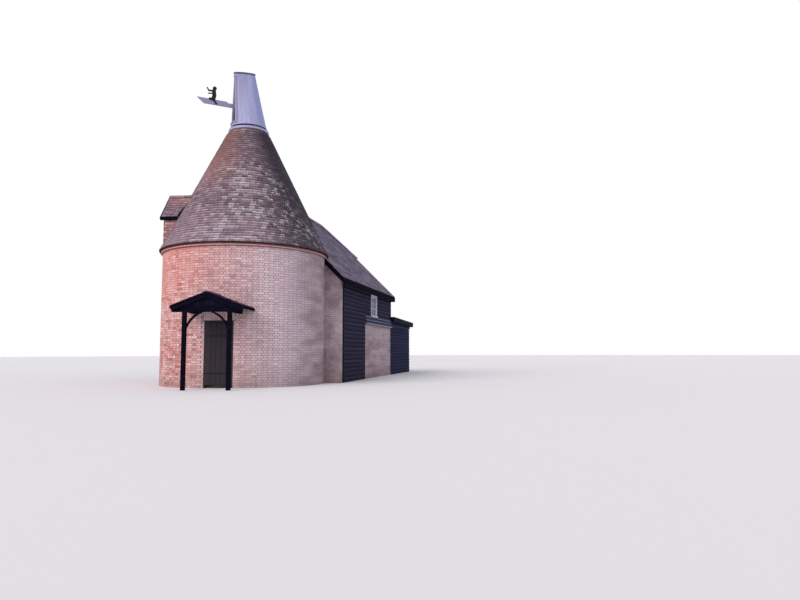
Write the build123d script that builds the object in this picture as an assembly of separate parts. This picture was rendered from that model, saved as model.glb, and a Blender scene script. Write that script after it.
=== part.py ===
from build123d import *
import math
import os

# An oast house in millimetres: a round brick kiln with a tiled cone and a turning cowl, a two-storey
# stowage with a half-hipped roof behind it, and a low boarded annex at the far end.
# The origin is on the kiln's axis at ground level, +Z is up and +Y runs along the stowage's ridge.

# Kiln drum
kiln_radius = 2750
kiln_wall = 340
corbel_height = 4375
corbel_course = 75
corbel_step = 60
joint_gap = 0.5
kiln_floor_drop = 270
floor_depth = 180
slab_depth = 100

# Conical roof
tile_overhang = 55
eave_edge = 30
rafter_hold = 110
kick_height = 410
kick_in = 225
cone_height = 3970
cone_top_radius = 705
cone_roof_depth = 190
cone_rafter_count = 72

# Doorways, all of one width and height
door_width = 900
door_head_drop = 170
porch_angle = 280
passage_angle = 90
door_frame_face = 60
door_frame_depth = 130
door_leaf_depth = 45
door_rebate = 15

# Dormer on the cone
dormer_angle = 188
dormer_half_width = 620
dormer_wall = 100
dormer_gable_height = 1060
dormer_pitch = 52.5
dormer_roof_depth = 60
dormer_eave = 80
dormer_verge = 110
dormer_sill_rise = 510
dormer_window_width = 700
dormer_window_height = 640

# Porch in front of the kiln door
porch_depth = 1050
porch_half_span = 660
porch_post = 110
porch_beam_bottom = 2250
porch_beam_height = 180
porch_beam_reach = 1030
porch_gable_height = 390
porch_eave_reach = 1050
porch_pitch = 21
porch_roof_depth = 75
porch_verge = 80
brace_drop = 520
brace_width = 110
brace_bow = 0.38

# Stowage
side_beyond_kiln = 500
near_end = 750
far_end = 8400
brick_wall = 225
boarded_wall = 150
storey_height = 2220
boarded_bay_end = 3930
roof_pitch = 45
roof_depth = 150
eave_overhang = 200
verge_overhang = 180
hip_drop = 1350
hip_pitch = 55
hip_overhang = 110
ridge_tile_radius = 120
ridge_tile_sink = 55
skirt_height = 400
skirt_board_count = 3
skirt_board_top = 6
skirt_board_bottom = 45
skirt_board_flare = 25

# Windows
side_window_y = 4860
side_sill_rise = 370
side_window_width = 840
side_window_height = 830
side_window_head_gap = 218
window_face = 55
window_depth = 70
window_reveal = 15
pane_depth = 8

# Annex
annex_end = 12900
annex_wall = 120
annex_roof_near = 2730
annex_roof_far = 2650
annex_roof_depth = 230
annex_overhang = 200

# Cowl and vane, built with the vane along +X and then turned to the wind
wind_angle = 219.5
curb_height = 105
curb_width = 150
cowl_clearance = 85
cowl_set_in = 75
cowl_height = 2015
cowl_lean = 195
cowl_head_half_length = 380
cowl_head_half_width = 90
cowl_head_fall = 80
cowl_board = 25
cowl_board_count = 24
cowl_cap_depth = 55
cowl_cap_overhang = 12
mouth_sill = 150
mouth_head = 90
mouth_half_angle = 36
hoop_height = 90
hoop_depth = 50
spindle_radius = 50
spindle_play = 3
pivot_gap = 0.3
pivot_drop = 710
bearer_width = 150
bearer_depth = 180
guide_depth = 40
cowl_arm = 60
vane_rise = 700
vane_inner_height = 145
vane_outer_height = 190
vane_step_start = 764
vane_step_end = 805
vane_tip = 1820
vane_lower_tip = 1585
vane_depth = 40

# Seated figure on the vane: joints as distance from the axis and height over the vane's lower edge
figure_depth = 12
figure_head_radius = 69
figure_joints = {
    "seat": (1272, 190), "chest": (1238, 345), "shoulder": (1255, 490), "head": (1229, 589),
    "knee": (1385, 190), "foot": (1165, 45), "elbow": (1430, 478), "hand": (1483, 565),
    "rib": (1245, 405), "other hand": (1440, 372),
}
figure_limbs = [
    ("seat", "chest", 140), ("chest", "shoulder", 135), ("shoulder", "head", 60), ("seat", "knee", 85),
    ("seat", "foot", 60), ("shoulder", "elbow", 58), ("elbow", "hand", 46), ("rib", "other hand", 42),
]


def block(x, y, z):
    """A box from three (low, high) pairs."""
    sizes = [pair[1] - pair[0] for pair in (x, y, z)]
    return Pos(x[0], y[0], z[0]) * Box(*sizes, align=(Align.MIN, Align.MIN, Align.MIN))


def along_y(points, start, end):
    """An outline in x and z, extruded along +Y."""
    face = make_face(Polyline(*[(x, start, z) for x, z in points], close=True))
    return extrude(face, end - start, dir=(0, 1, 0))


def along_x(points, start, end):
    """An outline in y and z, extruded along +X."""
    face = make_face(Polyline(*[(start, y, z) for y, z in points], close=True))
    return extrude(face, end - start, dir=(1, 0, 0))


def turned(points, start=0, sweep=360):
    """An outline in radius and z, revolved about the kiln's axis from an angle."""
    face = make_face(Polyline(*[(radius, 0, z) for radius, z in points], close=True))
    return Rot(0, 0, start) * revolve(face, Axis.Z, sweep)


def largest(shape):
    """The main solid of a trimmed shape, without what the trim cuts off."""
    return max(shape.solids(), key=lambda solid: solid.volume)


# Values that follow from the driving dimensions
wall_inside = kiln_radius - kiln_wall
corbel_radius = kiln_radius + corbel_step
wall_top = corbel_height + corbel_course
kiln_floor_top = wall_top - kiln_floor_drop
eave_radius = corbel_radius + tile_overhang
eave_top = wall_top + eave_edge
rafter_seat = wall_inside + rafter_hold
kick_radius = eave_radius - kick_in
kick_top = eave_top + kick_height
cone_top = kick_top + cone_height
dormer_sill = wall_top + dormer_sill_rise
dormer_ridge = dormer_sill + dormer_window_height + dormer_gable_height
porch_front = kiln_radius + porch_depth
porch_beam_top = porch_beam_bottom + porch_beam_height
porch_ridge = porch_beam_top + porch_gable_height
door_height = storey_height - door_head_drop
half_width = kiln_radius + side_beyond_kiln
slope = math.tan(math.radians(roof_pitch))
roof_drop = roof_depth / math.cos(math.radians(roof_pitch))
side_sill = storey_height + side_sill_rise
side_wall_top = side_sill + side_window_height + side_window_head_gap
ridge_height = side_wall_top + half_width * slope + roof_drop
hip_slope = math.tan(math.radians(hip_pitch))
hip_depth = roof_depth / math.cos(math.radians(hip_pitch))
eave_reach = half_width + eave_overhang
verge_end = far_end + verge_overhang
hip_start = verge_end - hip_drop / hip_slope
hip_end = verge_end + hip_overhang
brick_inside = half_width - brick_wall
boarded_inside = half_width - boarded_wall
side_start = near_end + brick_wall
curb_top = cone_top + curb_height
cowl_radius = cone_top_radius - cowl_set_in
cowl_bottom = curb_top + cowl_clearance
cowl_top = cowl_bottom + cowl_height
cowl_head_slope = cowl_head_fall / (2 * cowl_head_half_length)
cowl_head_front = cowl_top - cowl_head_fall / 2
pivot_height = cone_top - pivot_drop
vane_bottom = cowl_bottom + vane_rise
vane_inner_top = vane_bottom + vane_inner_height
vane_outer_top = vane_bottom + vane_outer_height
dormer_floor = kick_top
beyond = 2000


def kiln_envelope(gap):
    """The kiln's whole outer form, grown by a gap, to trim what meets it."""
    return turned([
        (0, -gap), (kiln_radius + gap, -gap), (kiln_radius + gap, corbel_height - gap),
        (corbel_radius + gap, corbel_height - gap), (corbel_radius + gap, wall_top - gap),
        (eave_radius + gap, wall_top - gap), (eave_radius + gap, eave_top),
        (kick_radius + gap, kick_top), (cone_top_radius + gap, cone_top + gap), (0, cone_top + gap),
    ])


def skinned(outlines):
    """A solid from the flat outlines of all its faces."""
    return Solid(Shell([Face(Wire.make_polygon(outline)) for outline in outlines]))


def strips(low, high):
    """Four-cornered outlines between two rings with as many corners."""
    return [[low[i - 1], low[i], high[i], high[i - 1]] for i in range(len(low))]


def tapered(bottom, top, sides):
    """A solid of flat strips between two levels, each a radius and a z."""
    rings = []
    for radius, z in (bottom, top):
        turns = [2 * math.pi * index / sides for index in range(sides)]
        rings.append([(radius * math.cos(turn), radius * math.sin(turn), z) for turn in turns])
    return skinned(rings + strips(*rings))


def wall_ring(start=0, sweep=360):
    """The drum's brickwork with its corbelled course."""
    return turned([
        (wall_inside, 0), (kiln_radius, 0), (kiln_radius, corbel_height), (corbel_radius, corbel_height),
        (corbel_radius, wall_top), (wall_inside, wall_top),
    ], start, sweep)


def doorway(angle, bottom, top):
    """A block through the drum on one side of its axis, as wide as a doorway."""
    reach = (0, corbel_radius)
    return Rot(0, 0, angle) * block(reach, (-door_width / 2, door_width / 2), (bottom, top))


def kiln_walls():
    """Four segments between the doorways, and the brickwork over both of them."""
    left_sweep = (porch_angle - passage_angle) / 2
    right_sweep = (360 - porch_angle + passage_angle) / 2
    starts = {
        "kiln_wall_front_right": (porch_angle, right_sweep),
        "kiln_wall_back_right": (porch_angle + right_sweep, right_sweep),
        "kiln_wall_back_left": (passage_angle, left_sweep),
        "kiln_wall_front_left": (passage_angle + left_sweep, left_sweep),
    }
    both = doorway(porch_angle, 0, wall_top) + doorway(passage_angle, 0, wall_top)
    parts = {name: wall_ring(*arc) - both for name, arc in starts.items()}
    over = [wall_ring() & doorway(angle, door_height, wall_top) for angle in (porch_angle, passage_angle)]
    parts["kiln_wall_over_doors"] = Compound(children=[piece.solids()[0] for piece in over])
    return parts


def dormer_inside():
    """The room in the dormer, as a tool that opens the cone."""
    inside = dormer_half_width - dormer_wall
    eave = dormer_under(inside)
    peak = dormer_under(0)
    outline = [(-inside, dormer_floor), (inside, dormer_floor), (inside, eave), (0, peak), (-inside, eave)]
    face = make_face(Polyline(*[(0, y, z) for y, z in outline], close=True))
    room = extrude(face, kiln_radius - dormer_wall, dir=(1, 0, 0))
    return Rot(0, 0, dormer_angle) * room


def dormer_top(across):
    """Height of the dormer's tiles at a distance from its ridge."""
    return dormer_ridge - across * math.tan(math.radians(dormer_pitch))


def dormer_under(across):
    """Height of the underside of the dormer's roof at a distance from its ridge."""
    return dormer_top(across) - dormer_roof_depth / math.cos(math.radians(dormer_pitch))


def cone_inside(gap):
    """The hollow under the cone's rafters, drawn in by a gap."""
    depth = cone_roof_depth + gap
    foot = tapered((rafter_seat - gap, wall_top), (kick_radius - depth, kick_top), cone_rafter_count)
    head = tapered((kick_radius - depth, kick_top), (cone_top_radius - depth, cone_top), cone_rafter_count)
    return foot + head


def kiln_roof():
    """The cone in four sectors, a flat strip to each rafter bay, open at the top and at the dormer."""
    eave = tapered((eave_radius, wall_top), (eave_radius, eave_top), cone_rafter_count)
    kick = tapered((eave_radius, eave_top), (kick_radius, kick_top), cone_rafter_count)
    cone = tapered((kick_radius, kick_top), (cone_top_radius, cone_top), cone_rafter_count)
    shell = (eave + kick + cone) - cone_inside(0)
    names = ["kiln_roof_back", "kiln_roof_left", "kiln_roof_front", "kiln_roof_right"]
    sweep = 360 / len(names)
    reach = 2 * eave_radius
    parts = {}
    for index, name in enumerate(names):
        quarter = Rot(0, 0, sweep / 2 + sweep * index) * block((0, reach), (0, reach), (wall_top, cone_top))
        sector = shell & quarter
        parts[name] = sector - dormer_inside() if name == "kiln_roof_left" else sector
    return parts


def kiln_upper_floor():
    """The floor that the dormer lights, let in between the walls."""
    edge = wall_inside - joint_gap
    return turned([(0, kiln_floor_top - floor_depth), (edge, kiln_floor_top - floor_depth),
                   (edge, kiln_floor_top), (0, kiln_floor_top)])


def dormer():
    """Front wall, tile-hung cheeks and a gabled roof, all trimmed by the cone."""
    envelope = Rot(0, 0, -dormer_angle) * kiln_envelope(joint_gap)
    half = dormer_half_width
    eave, peak = dormer_under(half), dormer_under(0)
    outline = [(-half, wall_top), (half, wall_top), (half, eave), (0, peak), (-half, eave)]
    front = along_x(outline, kiln_radius - dormer_wall, kiln_radius)
    opening = block((0, kiln_radius + beyond), (-dormer_window_width / 2, dormer_window_width / 2),
                    (dormer_sill, dormer_sill + dormer_window_height))
    front = front - opening - envelope
    cheeks = []
    for side in (-1, 1):
        inner = side * (half - dormer_wall)
        outer = side * half
        section = [(inner, wall_top), (outer, wall_top), (outer, eave), (inner, dormer_under(abs(inner)))]
        cheek = along_x(section, kiln_radius / 2, kiln_radius - dormer_wall) - envelope
        cheeks.append(largest(cheek))
    reach = half + dormer_eave
    section = [(-reach, dormer_top(reach)), (0, dormer_ridge), (reach, dormer_top(reach)),
               (reach, dormer_under(reach)), (0, peak), (-reach, dormer_under(reach))]
    roof = largest(along_x(section, 0, kiln_radius + dormer_verge) - envelope)
    turn = Rot(0, 0, dormer_angle)
    return {"dormer_front": turn * front, "dormer_cheeks": Compound(children=[turn * c for c in cheeks]),
            "dormer_roof": turn * roof}


def window(width, height):
    """A two-light casement facing +X, from its sill, and its two panes."""
    half = width / 2
    depth = (-window_depth, 0)
    frame = block(depth, (-half, half), (0, height))
    light = (width - 3 * window_face) / 2
    panes = []
    for side in (-1, 1):
        span = sorted((side * window_face / 2, side * (window_face / 2 + light)))
        frame = frame - block((-beyond, beyond), span, (window_face, height - window_face))
        middle = -window_depth / 2
        panes.append(block((middle - pane_depth / 2, middle + pane_depth / 2), span,
                           (window_face, height - window_face)))
    return frame, panes


def windows():
    """The dormer's window and one in each long side of the stowage."""
    side = window(side_window_width, side_window_height)
    small = window(dormer_window_width, dormer_window_height)
    middle = side_window_y + side_window_width / 2
    face = half_width - window_reveal
    places = [
        (Pos(face, middle, side_sill), side),
        (Pos(-face, middle, side_sill) * Rot(0, 0, 180), side),
        (Rot(0, 0, dormer_angle) * Pos(kiln_radius - window_reveal, 0, dormer_sill), small),
    ]
    frames = [place * made[0].solids()[0] for place, made in places]
    panes = [place * pane.solids()[0] for place, made in places for pane in made[1]]
    return {"window_frames": Compound(children=frames), "window_glass": Compound(children=panes)}


def porch_top(across):
    """Height of the porch roof's top at a distance from its ridge."""
    return porch_ridge - across * math.tan(math.radians(porch_pitch))


def porch_under(across):
    """Height of the porch roof's underside at a distance from its ridge."""
    return porch_top(across) - porch_roof_depth / math.cos(math.radians(porch_pitch))


def porch():
    """Two posts, a braced tie beam and side plates under a gabled roof."""
    envelope = Rot(0, 0, -porch_angle) * kiln_envelope(joint_gap)
    half = porch_post / 2
    depth = (porch_front - porch_post, porch_front)
    below = along_x([(-eave_radius, 0), (eave_radius, 0), (eave_radius, porch_under(eave_radius)),
                     (0, porch_under(0)), (-eave_radius, porch_under(eave_radius))], 0, porch_front)
    frame = block(depth, (-porch_beam_reach, porch_beam_reach),
                  (porch_beam_bottom, porch_beam_top)) & below
    posts = []
    for side in (-1, 1):
        middle = side * porch_half_span
        posts.append(block(depth, (middle - half, middle + half), (0, porch_beam_bottom)).solids()[0])
        plate = block((0, depth[0]), (middle - half, middle + half),
                      (porch_beam_bottom, porch_ridge)) & below
        frame = frame + (plate - envelope)
        frame = frame + knee_brace(middle - side * half, -side, depth)
    gable_top = porch_under(0)
    spread = (gable_top - porch_beam_top) / math.tan(math.radians(porch_pitch))
    board = along_x([(-spread, porch_beam_top), (spread, porch_beam_top), (0, gable_top)],
                    porch_front - porch_post / 2, porch_front - porch_post / 4)
    reach = porch_eave_reach
    section = [(-reach, porch_top(reach)), (0, porch_ridge), (reach, porch_top(reach)),
               (reach, porch_under(reach)), (0, porch_under(0)), (-reach, porch_under(reach))]
    roof = largest(along_x(section, 0, porch_front + porch_verge) - envelope)
    turn = Rot(0, 0, porch_angle)
    return {"porch_posts": Compound(children=[turn * post for post in posts]),
            "porch_frame": turn * frame, "porch_gable": turn * board, "porch_roof": turn * roof}


def knee_brace(post_face, way, depth):
    """A curved brace from the side of a post up to the beam, half as thick as the post."""
    thick = (depth[1] - depth[0]) / 2
    x = depth[0] + thick / 2

    def arc(reach):
        foot = (post_face, porch_beam_bottom - reach)
        head = (post_face + way * reach, porch_beam_bottom)
        bow = reach * brace_bow
        middle = (post_face + way * bow, porch_beam_bottom - bow)
        return [(x, *point) for point in (foot, middle, head)]

    outer, inner = arc(brace_drop), arc(brace_drop - brace_width)
    edges = [ThreePointArc(*outer), Line(outer[2], inner[2]), ThreePointArc(*inner), Line(inner[0], outer[0])]
    return extrude(make_face(edges), thick, dir=(1, 0, 0))


def kiln_door():
    """A plank leaf held in the rebate of its frame, under the porch."""
    half = door_width / 2
    outer = math.sqrt(kiln_radius ** 2 - half ** 2)
    depth = (outer - door_frame_depth, outer)
    frame = block(depth, (-half, half), (slab_depth, door_height))
    opening = half - door_frame_face
    frame = frame - block((0, kiln_radius), (-opening, opening), (0, door_height - door_frame_face))
    seat = opening + door_rebate
    leaf_place = (outer - door_leaf_depth, outer)
    leaf_top = door_height - door_frame_face + door_rebate
    rebate = block((leaf_place[0], kiln_radius), (-seat, seat), (0, leaf_top))
    frame = frame - rebate
    leaf = block(leaf_place, (-seat, seat), (slab_depth, leaf_top))
    turn = Rot(0, 0, porch_angle)
    return {"kiln_door_frame": turn * frame, "kiln_door": turn * leaf}


def above_hip(lowered):
    """All that is over the half-hip's plane, lowered by a depth."""
    back = beyond / 2
    top = ridge_height - lowered
    far = far_end + beyond
    return along_x([
        (hip_start - back, top + back * hip_slope), (far, top - (far - hip_start) * hip_slope),
        (far, top + back * hip_slope),
    ], -eave_reach, eave_reach)


def under_roof():
    """The space below the stowage's rafters."""
    reach = eave_reach
    ridge = ridge_height - roof_drop
    body = along_y([(-reach, -slab_depth), (reach, -slab_depth), (reach, ridge - reach * slope),
                    (0, ridge), (-reach, ridge - reach * slope)], 0, far_end + beyond)
    return body - above_hip(hip_depth)


def stowage_roof():
    """Two slopes that die into the cone, a half-hip at the far end and half-round ridge tiles."""
    envelope = kiln_envelope(joint_gap)
    low = ridge_height - eave_reach * slope
    start = near_end - verge_overhang
    parts = {}
    for name, side in (("stowage_roof_right", 1), ("stowage_roof_left", -1)):
        section = [(0, ridge_height), (side * eave_reach, low), (side * eave_reach, low - roof_drop),
                   (0, ridge_height - roof_drop)]
        sheet = along_y(section, start, verge_end) - above_hip(0) - envelope
        parts[name] = largest(sheet)
    top_end = ridge_height - (hip_end - hip_start) * hip_slope
    hip = along_x([(hip_start, ridge_height), (hip_end, top_end), (hip_end, top_end - hip_depth),
                   (hip_start, ridge_height - hip_depth)], -half_width, half_width)
    cover = along_y([(-eave_reach, low), (0, ridge_height), (eave_reach, low)], hip_start, hip_end)
    hip = (hip & cover) - parts["stowage_roof_right"] - parts["stowage_roof_left"]
    parts["half_hip"] = largest(hip)
    bed = along_y([(-eave_reach, low), (0, ridge_height), (eave_reach, low)], 0, verge_end)
    length = hip_start - start
    round_tile = Pos(0, start + length / 2, ridge_height - ridge_tile_sink) * Rot(90, 0, 0)
    round_tile = round_tile * Cylinder(ridge_tile_radius, length)
    ridge = round_tile - bed - envelope
    parts["ridge_tiles"] = largest(ridge)
    return parts


def stowage_walls():
    """Brick below and black boarding above, with a bay boarded down to the ground."""
    envelope = kiln_envelope(joint_gap)
    attic = under_roof()
    top = ridge_height
    parts = {}
    returns = []
    for side in (-1, 1):
        span = sorted((0, side * half_width))
        stub = block(span, (near_end, side_start), (0, top)) & attic
        returns.append(largest(stub - envelope))
    parts["near_wall_returns"] = Compound(children=returns)
    parts["right_brick_wall"] = block((brick_inside, half_width), (boarded_bay_end, far_end),
                                      (0, storey_height))
    parts["left_brick_wall"] = block((-half_width, -brick_inside), (side_start, far_end),
                                     (0, storey_height))
    far_brick = block((-brick_inside, brick_inside), (far_end - brick_wall, far_end), (0, storey_height))
    parts["far_brick_wall"] = far_brick - block((-door_width / 2, door_width / 2), (0, far_end + beyond),
                                                (0, door_height))
    hole = block((-eave_reach, eave_reach), (side_window_y, side_window_y + side_window_width),
                 (side_sill, side_sill + side_window_height))
    right = block((boarded_inside, half_width), (side_start, far_end), (storey_height, top))
    right = right + block((boarded_inside, half_width), (side_start, boarded_bay_end), (0, storey_height))
    parts["right_boarded_wall"] = (right & attic) - hole
    left = block((-half_width, -boarded_inside), (side_start, far_end), (storey_height, top))
    parts["left_boarded_wall"] = (left & attic) - hole
    gable = block((-boarded_inside, boarded_inside), (far_end - boarded_wall, far_end), (storey_height, top))
    parts["far_gable"] = gable & attic
    return parts


def skirt_section():
    """Lapped boards that kick out over the brickwork, as distance from the wall and height."""
    board = skirt_height / skirt_board_count
    top = storey_height + skirt_height
    points = [(0, top)]
    for index in range(skirt_board_count):
        flare = index * skirt_board_flare
        points.append((flare + skirt_board_top, top - index * board))
        points.append((flare + skirt_board_bottom, top - (index + 1) * board))
    points.append((0, storey_height))
    return points


def skirt_boards():
    """The flared skirt along both long sides, where brick stands below it."""
    right = along_y([(half_width + out, z) for out, z in skirt_section()], boarded_bay_end, far_end)
    left = along_y([(-half_width - out, z) for out, z in skirt_section()], side_start, far_end)
    return Compound(children=[right.solids()[0], left.solids()[0]])


def floors():
    """Ground slabs in kiln, stowage and annex, and the stowage's upper floor."""
    edge = wall_inside - joint_gap
    kiln = turned([(0, 0), (edge, 0), (edge, slab_depth), (0, slab_depth)])
    envelope = kiln_envelope(joint_gap)
    returns = block((-half_width, half_width), (0, side_start), (0, ridge_height))
    inner_end = far_end - brick_wall
    slab = block((-brick_inside, brick_inside), (side_start, inner_end), (0, slab_depth))
    slab = slab + block((0, boarded_inside), (side_start, boarded_bay_end), (0, slab_depth))
    slab = slab - envelope - returns
    annex = block((-half_width + annex_wall, half_width - annex_wall), (far_end, annex_end - annex_wall),
                  (0, slab_depth))
    solids = [largest(made) for made in (kiln, slab, annex)]
    upper = block((-boarded_inside, boarded_inside), (side_start, far_end - boarded_wall),
                  (storey_height, storey_height + floor_depth)) - envelope
    return {"ground_slabs": Compound(children=solids), "stowage_upper_floor": largest(upper)}


def annex():
    """Boarded walls to the ground and a nearly flat roof with a deep edge."""
    fall = (annex_roof_near - annex_roof_far) / (annex_end + annex_overhang - far_end)

    def roof_line(y):
        return annex_roof_near - (y - far_end) * fall

    section = [(far_end, 0), (annex_end, 0), (annex_end, roof_line(annex_end) - annex_roof_depth),
               (far_end, roof_line(far_end) - annex_roof_depth)]
    right = along_x(section, half_width - annex_wall, half_width)
    left = along_x(section, -half_width, -half_width + annex_wall)
    body = along_x(section, -half_width + annex_wall, half_width - annex_wall)
    end = body & block((-half_width, half_width), (annex_end - annex_wall, annex_end), (0, ridge_height))
    roof_end = annex_end + annex_overhang
    roof = along_x([
        (far_end, roof_line(far_end)), (roof_end, roof_line(roof_end)),
        (roof_end, roof_line(roof_end) - annex_roof_depth), (far_end, roof_line(far_end) - annex_roof_depth),
    ], -half_width - annex_overhang, half_width + annex_overhang)
    sides = Compound(children=[right.solids()[0], left.solids()[0]])
    return {"annex_side_walls": sides, "annex_end_wall": end, "annex_roof": roof}


def cowl_ring(half_length, half_width, z, middle=0, fall=0):
    """Corners of the cowl's boards round an oval, which may fall towards the mouth."""
    turns = [2 * math.pi * (index - 0.5) / cowl_board_count for index in range(cowl_board_count)]
    along = [half_length * math.cos(turn) for turn in turns]
    return [(middle + x, half_width * math.sin(turn), z - fall * x) for x, turn in zip(along, turns)]


def cowl_head_ring(growth, z):
    """Corners of the cowl's narrow head, grown by a margin."""
    return cowl_ring(cowl_head_half_length + growth, cowl_head_half_width + growth, z, cowl_lean,
                     cowl_head_slope)


def cowl_form(inset):
    """The cowl's boards from a round foot to a narrow head, folded once each, drawn in from outside."""
    low = cowl_ring(cowl_radius - inset, cowl_radius - inset, cowl_bottom)
    high = cowl_head_ring(-inset, cowl_top)
    halves = []
    for index, (a, b, c, d) in enumerate(strips(low, high)):
        across = math.sin(4 * math.pi * (index - 1) / cowl_board_count)
        halves += [[a, b, d], [b, c, d]] if across > 0 else [[a, b, c], [a, c, d]]
    return skinned([low, high] + halves)


def cowl_mouth():
    """The open side, over the vane, bounded by the same two boards all the way up."""
    def half(z):
        share = (z - cowl_bottom) / cowl_height
        radius = cowl_radius + share * (cowl_head_half_width - cowl_radius)
        return radius * math.sin(math.radians(mouth_half_angle))

    low = cowl_bottom + mouth_sill
    high = cowl_head_front - mouth_head
    outline = [(-half(low), low), (half(low), low), (half(high), high), (-half(high), high)]
    return along_x(outline, cowl_lean, cowl_radius + beyond)


def cowl_frame():
    """The spindle with its foot, cross arms and hoop at the bottom and a beam under the cap."""
    inside = cowl_form(cowl_board + joint_gap)
    half = cowl_arm / 2
    level = (cowl_bottom, cowl_bottom + hoop_height)
    arms = block((-beyond, beyond), (-half, half), level) + block((-half, half), (-beyond, beyond), level)
    hoop = block((-beyond, beyond), (-beyond, beyond), level) - cowl_form(cowl_board + hoop_depth)
    beam = block((-beyond, beyond), (-half, half), (cowl_head_front - hoop_height, cowl_top + beyond))
    upper = Pos(0, 0, cowl_bottom) * Cylinder(spindle_radius, cowl_height + beyond,
                                              align=(Align.CENTER, Align.CENTER, Align.MIN))
    bottom = pivot_height + pivot_gap
    lower = Pos(0, 0, bottom) * Cylinder(spindle_radius, cowl_bottom - bottom,
                                         align=(Align.CENTER, Align.CENTER, Align.MIN))
    return lower + ((upper + arms + hoop + beam) & inside)


def cowl():
    """Boarded shell, cap, spindle frame, vane and its figure, turned to the wind."""
    shell = cowl_form(0) - cowl_form(cowl_board) - cowl_mouth()
    rings = [cowl_head_ring(cowl_cap_overhang, z) for z in (cowl_top, cowl_top + cowl_cap_depth)]
    cap = skinned(rings + strips(*rings))
    vane = vane_board()
    frame = cowl_frame() - vane
    turn = Rot(0, 0, wind_angle)
    return {"cowl_shell": turn * shell, "cowl_cap": turn * cap, "cowl_frame": turn * frame,
            "vane_board": turn * vane, "vane_figure": turn * vane_figure()}


def vane_board():
    """The finger board, held by the spindle and shaped to a slanted point."""
    outline = [(-spindle_radius, vane_bottom), (vane_lower_tip, vane_bottom), (vane_tip, vane_outer_top),
               (vane_step_end, vane_outer_top), (vane_step_start, vane_inner_top),
               (-spindle_radius, vane_inner_top)]
    return along_y(outline, -vane_depth / 2, vane_depth / 2)


def limb(start, end, width):
    """A straight limb with round ends, in the plane of the vane."""
    run = math.dist(start, end)
    turn = math.degrees(math.atan2(end[1] - start[1], end[0] - start[0]))
    middle = ((start[0] + end[0]) / 2, (start[1] + end[1]) / 2)
    return Pos(*middle) * Rot(0, 0, turn) * SlotCenterToCenter(run, width)


def vane_figure():
    """A plain seated figure cut from plate, fixed to the vane's side."""
    joints = {name: (along, vane_bottom + rise) for name, (along, rise) in figure_joints.items()}
    outline = Pos(*joints["head"]) * Circle(figure_head_radius)
    for start, end, width in figure_limbs:
        outline = outline + limb(joints[start], joints[end], width)
    plate = extrude(outline, figure_depth)
    return Pos(0, vane_depth / 2 + figure_depth, 0) * Rot(90, 0, 0) * plate


def cowl_bearings():
    """The curb, the bearer under the spindle and the guide bar at the curb."""
    curb = turned([(cone_top_radius - curb_width, cone_top), (cone_top_radius, cone_top),
                   (cone_top_radius, curb_top), (cone_top_radius - curb_width, curb_top)])
    half = bearer_width / 2
    hollow = cone_inside(joint_gap)
    bearer = block((-eave_radius, eave_radius), (-half, half), (pivot_height - bearer_depth, pivot_height))
    bearer = bearer & hollow
    guide = block((-eave_radius, eave_radius), (-half, half), (cone_top - guide_depth, cone_top)) & hollow
    guide = guide - Cylinder(spindle_radius + spindle_play, 2 * curb_top)
    return {"curb_ring": curb, "cowl_bearers": Compound(children=[bearer.solids()[0], guide.solids()[0]])}


def build():
    """Every sub-part by its name."""
    parts = {}
    for made in (kiln_walls(), kiln_roof(), dormer(), windows(), porch(), kiln_door(), stowage_walls(),
                 stowage_roof(), floors(), annex(), cowl_bearings(), cowl()):
        parts.update(made)
    parts["kiln_upper_floor"] = kiln_upper_floor()
    parts["skirt_boards"] = skirt_boards()
    return parts


os.makedirs("parts", exist_ok=True)
for name, shape in build().items():
    export_step(shape, f"parts/{name}.step")
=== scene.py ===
import random
from math import asin, atan2, cos, dist, floor, pi, radians, sin, sqrt, tan

import bmesh
import bpy
import numpy as np
from mathutils import Matrix, Vector


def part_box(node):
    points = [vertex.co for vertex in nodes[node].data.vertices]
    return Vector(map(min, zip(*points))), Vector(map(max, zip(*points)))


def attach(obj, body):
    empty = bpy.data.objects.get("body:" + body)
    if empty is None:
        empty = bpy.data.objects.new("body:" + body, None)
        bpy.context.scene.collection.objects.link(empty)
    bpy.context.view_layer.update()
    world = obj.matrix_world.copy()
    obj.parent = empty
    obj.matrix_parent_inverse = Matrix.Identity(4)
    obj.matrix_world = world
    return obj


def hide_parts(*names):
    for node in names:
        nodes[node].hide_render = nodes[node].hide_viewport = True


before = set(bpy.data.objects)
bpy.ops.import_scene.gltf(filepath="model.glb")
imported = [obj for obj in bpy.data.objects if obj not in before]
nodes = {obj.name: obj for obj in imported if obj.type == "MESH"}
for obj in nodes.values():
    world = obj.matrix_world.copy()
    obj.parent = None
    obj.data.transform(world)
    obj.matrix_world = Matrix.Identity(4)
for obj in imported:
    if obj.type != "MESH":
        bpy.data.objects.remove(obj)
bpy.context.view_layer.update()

# Bricks, tiles, boards and trim laid over the oast house's solids, in metres.
# The origin is on the kiln's axis at ground level, +Z is up and +Y runs along the stowage's ridge.

picker = random.Random(7)
x_axis, y_axis, z_axis = Vector((1, 0, 0)), Vector((0, 1, 0)), Vector((0, 0, 1))
level = Matrix.Identity(4)
dormer_turn, porch_turn, wind_turn = radians(188), radians(280), radians(219.5)
sides = (("_right", 1), ("_left", -1))

# Kiln and cone; the solid's flat facets lie a little inside its true circle
corbel_step, corbel_course = 0.06, 0.075
kiln_radius = -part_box("kiln_wall_back_left")[0].x - corbel_step
wall_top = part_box("kiln_wall_back_left")[1].z
corbel_bottom = wall_top - corbel_course
cone_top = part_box("kiln_roof_front")[1].z
curb_radius, curb_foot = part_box("curb_ring")[1].x, cone_top + 0.03
cone_profile = [(2.865, wall_top + 0.03), (2.64, wall_top + 0.44), (curb_radius, cone_top)]
facet_share = cos(pi / 72)

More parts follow.
